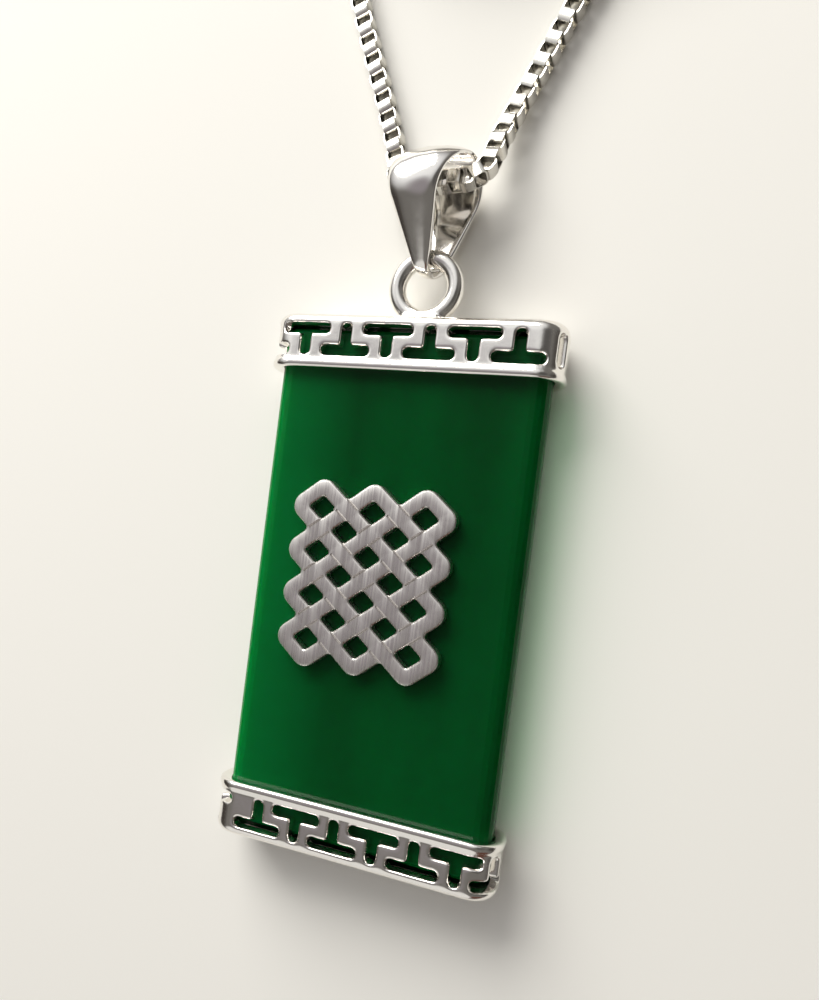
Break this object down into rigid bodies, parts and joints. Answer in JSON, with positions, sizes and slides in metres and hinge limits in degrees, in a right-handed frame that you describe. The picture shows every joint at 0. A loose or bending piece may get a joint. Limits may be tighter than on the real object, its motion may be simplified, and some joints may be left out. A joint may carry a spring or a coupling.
{
  "type": "plaque pendant",
  "caption": "Rectangular green stone plaque pendant with openwork silver end caps, a knot plate on its face, a tapered bail and a fine box chain.",
  "frame": {"origin": "middle of the pendant's footprint, without the chain, on the surface that it lies on", "axes": "+Z out of the plaque's face, +Y along its length towards the bail, +X across its width to the right as seen from the face"},
  "size_m": [0.0282, 0.0974, 0.0061],
  "materials": {
    "jade": "polished, translucent",
    "cast_silver": "bright silver plating on a casting",
    "brushed_silver": "brushed",
    "strap_silver": "polished",
    "chain_silver": "polished"
  },
  "bodies": {
    "root": {"jade_slab": "jade", "top_cap": "cast_silver", "bottom_cap": "cast_silver", "emblem": "brushed_silver", "bail": "strap_silver", "chain_left": "chain_silver", "chain_right": "chain_silver", "chain_coil_lower": "chain_silver", "chain_coil_upper": "chain_silver", "clasp": "chain_silver", "jump_ring": "chain_silver"}
  },
  "joints": []
}
